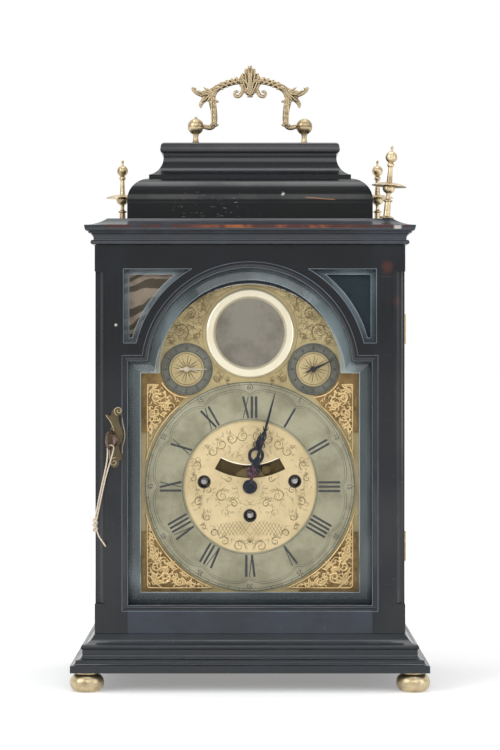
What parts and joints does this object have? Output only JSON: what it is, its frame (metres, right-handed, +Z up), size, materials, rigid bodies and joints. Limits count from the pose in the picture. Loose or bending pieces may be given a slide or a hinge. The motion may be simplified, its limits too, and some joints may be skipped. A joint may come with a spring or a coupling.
{
  "type": "bracket clock",
  "caption": "Ebonised break-arch bracket clock with hinged glazed doors, arched dial, winding holes, spring-driven movement, bells and a swinging carrying handle.",
  "frame": {"origin": "under the middle of the clock, at the height of the soles of its feet", "axes": "+Z up, +X to the right seen from the front, the dial faces -Y"},
  "size_m": [0.3052, 0.2122, 0.5433],
  "materials": {
    "wood": "black ebonised and French-polished, worn reddish brown on the edges",
    "cast_brass": "lacquered cast brass, softly polished and unevenly toned",
    "hinge_brass": "dull toned brass",
    "plate_glass": "clear bevelled plate glass",
    "aged_lining": "faded dusty lining",
    "iron": "dark rust-brown iron",
    "twine": "twisted cream twine",
    "dial_brass": "matted and engraved gilt brass",
    "silvered_brass": "worn silvered brass with black wax in the engraving",
    "blued_steel": "blued steel",
    "movement_brass": "plain brass",
    "movement_steel": "polished steel",
    "bell_metal": "grey bell metal"
  },
  "bodies": {
    "case": {"bun_feet": "cast_brass", "plinth": "wood", "bottom_board": "wood", "side_frames": "wood", "side_glasses": "plate_glass", "case_hinges": "hinge_brass", "cornice": "wood", "finials": "cast_brass", "caddy_lower": "wood", "caddy_upper": "wood", "handle_posts": "cast_brass", "dial_mask": "wood", "dial_plate": "dial_brass", "chapter_ring": "silvered_brass", "corner_mounts": "cast_brass", "boss_disc": "silvered_brass", "boss_bezel": "cast_brass", "subsidiary_rings": "silvered_brass", "front_plate": "movement_brass", "back_plate": "movement_brass", "movement_posts": "movement_brass", "seat_board": "wood", "bells": "bell_metal"},
    "front_door": {"door_stiles": "wood", "door_rails": "wood", "door_moulding": "wood", "door_glass": "plate_glass", "corner_linings": "aged_lining", "corner_glasses": "plate_glass", "door_hinges": "hinge_brass", "lock_case": "hinge_brass", "escutcheon": "hinge_brass"},
    "back_door": {"back_door_frame": "wood", "back_door_glass": "plate_glass", "back_door_hinges": "hinge_brass"},
    "pendulum": {"pallet_arbor": "movement_steel", "pendulum": "movement_brass"},
    "string": {"string_left": "twine", "string_right": "twine", "string_knot": "twine"},
    "back_door_catch": {"back_door_catch": "hinge_brass"},
    "lock_bolt": {"lock_bolt": "iron"},
    "key": {"key": "iron"},
    "carrying_handle": {"carrying_handle": "cast_brass"},
    "left_pointer": {"left_pointer": "blued_steel"},
    "right_pointer": {"right_pointer": "blued_steel"},
    "hour_hand": {"hour_hand": "blued_steel"},
    "minute_hand": {"minute_hand": "blued_steel"},
    "minute_wheel": {"minute_wheel": "movement_brass"},
    "going_barrel": {"going_barrel": "movement_brass"},
    "going_arbor": {"going_arbor": "movement_steel"},
    "centre_wheel": {"centre_wheel": "movement_brass"},
    "third_wheel": {"third_wheel": "movement_brass"},
    "escape_wheel": {"escape_wheel": "movement_brass"},
    "strike_barrel": {"strike_barrel": "movement_brass"},
    "strike_arbor": {"strike_arbor": "movement_steel"},
    "strike_wheel": {"strike_wheel": "movement_brass"},
    "quarter_barrel": {"quarter_barrel": "movement_brass"},
    "quarter_arbor": {"quarter_arbor": "movement_steel"},
    "quarter_wheel": {"quarter_wheel": "movement_brass"}
  },
  "joints": [
    {"name": "front_door_turn", "type": "hinge", "parent": "case", "child": "front_door", "pos_m": [0.132, -0.0635, 0.23], "axis": [0, 0, 1], "range_deg": [0, 110]},
    {"name": "key_turn", "type": "hinge", "parent": "front_door", "child": "key", "pos_m": [-0.1145, -0.089, 0.2126], "axis": [0, 1, 0], "range_deg": [0, 90]},
    {"name": "lock_bolt_slide", "type": "slide", "parent": "front_door", "child": "lock_bolt", "axis": [0, 0, 1], "range_m": [0, 0.004]},
    {"name": "string_turn", "type": "hinge", "parent": "key", "child": "string", "pos_m": [-0.11775, -0.09528, 0.2057], "axis": [0, 1, 0], "range_deg": [-90, 0]},
    {"name": "back_door_turn", "type": "hinge", "parent": "case", "child": "back_door", "pos_m": [0.1195, 0.0845, 0.23], "axis": [0, 0, -1], "range_deg": [0, 110]},
    {"name": "back_door_catch_turn", "type": "hinge", "parent": "case", "child": "back_door_catch", "pos_m": [-0.126, 0.084, 0.1863], "axis": [0, 1, 0], "range_deg": [0, 90]},
    {"name": "carrying_handle_turn", "type": "hinge", "parent": "case", "child": "carrying_handle", "pos_m": [0, 0, 0.48718], "axis": [1, 0, 0], "range_deg": [-95, 95]},
    {"name": "minute_hand_turn", "type": "hinge", "parent": "case", "child": "minute_hand", "pos_m": [0, -0.0659, 0.1713], "axis": [0, 1, 0], "continuous": true},
    {"name": "hour_hand_turn", "type": "hinge", "parent": "case", "child": "hour_hand", "pos_m": [0, -0.0637, 0.1713], "axis": [0, 1, 0], "continuous": true},
    {"name": "minute_wheel_turn", "type": "hinge", "parent": "case", "child": "minute_wheel", "pos_m": [0.01414, -0.049, 0.18544], "axis": [0, 1, 0], "continuous": true},
    {"name": "left_pointer_turn", "type": "hinge", "parent": "case", "child": "left_pointer", "pos_m": [-0.0545, -0.06, 0.2723], "axis": [0, 1, 0], "range_deg": [-90, 90]},
    {"name": "right_pointer_turn", "type": "hinge", "parent": "case", "child": "right_pointer", "pos_m": [0.0545, -0.06, 0.2723], "axis": [0, 1, 0], "range_deg": [-150, 150]},
    {"name": "pendulum_turn", "type": "hinge", "parent": "case", "child": "pendulum", "pos_m": [0, 0.014, 0.2423], "axis": [0, 1, 0], "range_deg": [-5, 5]},
    {"name": "escape_wheel_turn", "type": "hinge", "parent": "case", "child": "escape_wheel", "pos_m": [0, -0.011, 0.2163], "axis": [0, 1, 0], "continuous": true},
    {"name": "third_wheel_turn", "type": "hinge", "parent": "case", "child": "third_wheel", "pos_m": [-0.00478, -0.001, 0.1938], "axis": [0, 1, 0], "continuous": true},
    {"name": "centre_wheel_turn", "type": "hinge", "parent": "case", "child": "centre_wheel", "pos_m": [0, 0.0042, 0.1713], "axis": [0, 1, 0], "continuous": true},
    {"name": "going_barrel_turn", "type": "hinge", "parent": "case", "child": "going_barrel", "pos_m": [0, -0.036, 0.1463], "axis": [0, 1, 0], "continuous": true},
    {"name": "going_arbor_turn", "type": "hinge", "parent": "case", "child": "going_arbor", "pos_m": [0, -0.043, 0.1463], "axis": [0, 1, 0], "range_deg": [0, 1800]},
    {"name": "strike_wheel_turn", "type": "hinge", "parent": "case", "child": "strike_wheel", "pos_m": [-0.04555, -0.001, 0.19956], "axis": [0, 1, 0], "continuous": true},
    {"name": "strike_barrel_turn", "type": "hinge", "parent": "case", "child": "strike_barrel", "pos_m": [-0.0395, -0.036, 0.1753], "axis": [0, 1, 0], "continuous": true},
    {"name": "strike_arbor_turn", "type": "hinge", "parent": "case", "child": "strike_arbor", "pos_m": [-0.0395, -0.043, 0.1753], "axis": [0, 1, 0], "range_deg": [0, 1800]},
    {"name": "quarter_wheel_turn", "type": "hinge", "parent": "case", "child": "quarter_wheel", "pos_m": [0.04455, -0.001, 0.20006], "axis": [0, 1, 0], "continuous": true},
    {"name": "quarter_barrel_turn", "type": "hinge", "parent": "case", "child": "quarter_barrel", "pos_m": [0.0385, -0.036, 0.1758], "axis": [0, 1, 0], "continuous": true},
    {"name": "quarter_arbor_turn", "type": "hinge", "parent": "case", "child": "quarter_arbor", "pos_m": [0.0385, -0.043, 0.1758], "axis": [0, 1, 0], "range_deg": [0, 1800]}
  ],
  "couplings": [
    {"joint": "lock_bolt_slide", "follows": "key_turn", "m_per_rad": 0.0025465},
    {"joint": "string_turn", "follows": "key_turn", "ratio": -1},
    {"joint": "hour_hand_turn", "follows": "minute_hand_turn", "ratio": 0.083333},
    {"joint": "minute_wheel_turn", "follows": "minute_hand_turn", "ratio": -0.33333},
    {"joint": "third_wheel_turn", "follows": "escape_wheel_turn", "ratio": -0.095238},
    {"joint": "centre_wheel_turn", "follows": "escape_wheel_turn", "ratio": 0.0090703},
    {"joint": "going_barrel_turn", "follows": "escape_wheel_turn", "ratio": -0.00078872},
    {"joint": "strike_barrel_turn", "follows": "strike_wheel_turn", "ratio": -0.086957},
    {"joint": "quarter_barrel_turn", "follows": "quarter_wheel_turn", "ratio": -0.086957}
  ]
}
